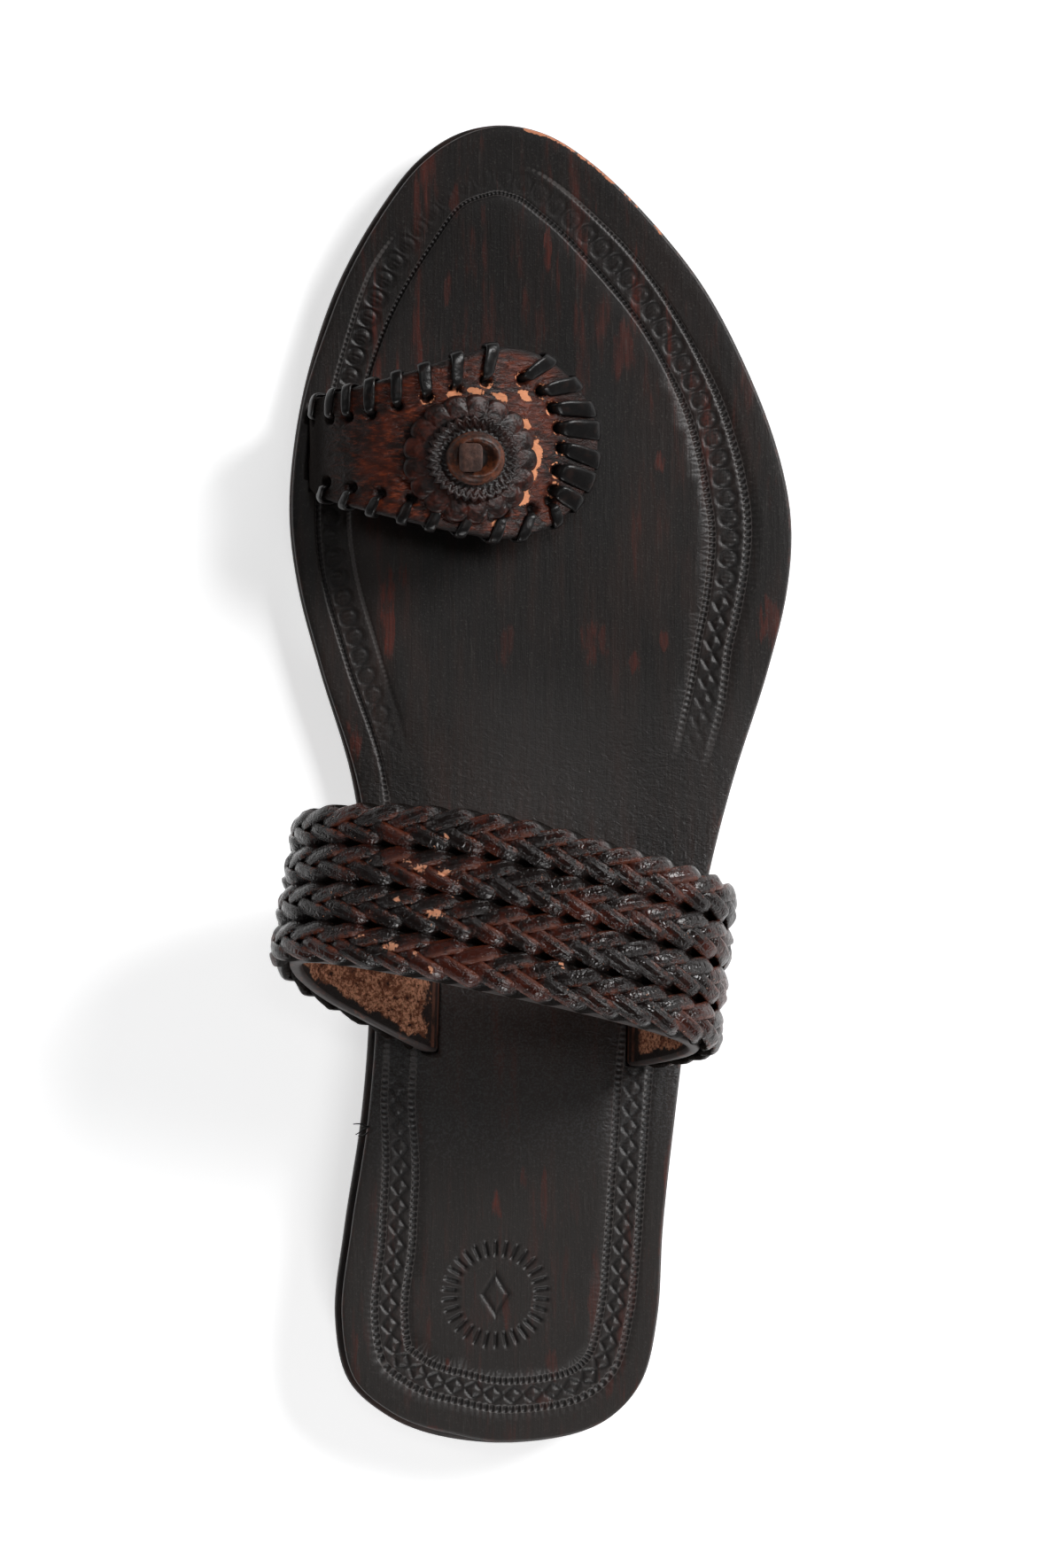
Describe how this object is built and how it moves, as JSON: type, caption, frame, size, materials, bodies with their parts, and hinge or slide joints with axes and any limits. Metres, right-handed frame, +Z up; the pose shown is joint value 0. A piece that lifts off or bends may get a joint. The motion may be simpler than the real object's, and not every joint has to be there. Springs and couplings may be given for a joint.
{
  "type": "kolhapuri sandal",
  "caption": "Right-foot leather slide sandal with flat layered sole, braided instep band and a laced toe strap with rosette.",
  "frame": {"origin": "on the floor, under the middle of the heel, on the flat underside of the heel lift", "axes": "+Y from the heel to the toe along the sole, +Z up, -X the big-toe side, +X the little-toe side"},
  "size_m": [0.1081, 0.2698, 0.0687],
  "materials": {
    "sole_leather": "burnished black-brown sole leather with red-brown edges",
    "insole_leather": "near-black polished leather with oxblood brush streaks and a stamped border",
    "suede_lining": "raw tan flesh side, edges dyed black",
    "braid_leather": "dark mahogany plaited lace, glossy on the ridges",
    "strap_leather": "creased mahogany leather, worn to tan in patches",
    "button_leather": "brown leather, semi-matt"
  },
  "bodies": {
    "root": {"outsole": "sole_leather", "heel_lift": "sole_leather", "insole": "insole_leather", "instep_band": "suede_lining", "instep_braid_1": "braid_leather", "instep_braid_2": "braid_leather", "instep_braid_3": "braid_leather", "instep_braid_4": "braid_leather", "toe_strap": "strap_leather", "rosette_large": "strap_leather", "rosette_small": "strap_leather", "rosette_button": "button_leather", "toe_thong": "button_leather"}
  },
  "joints": []
}
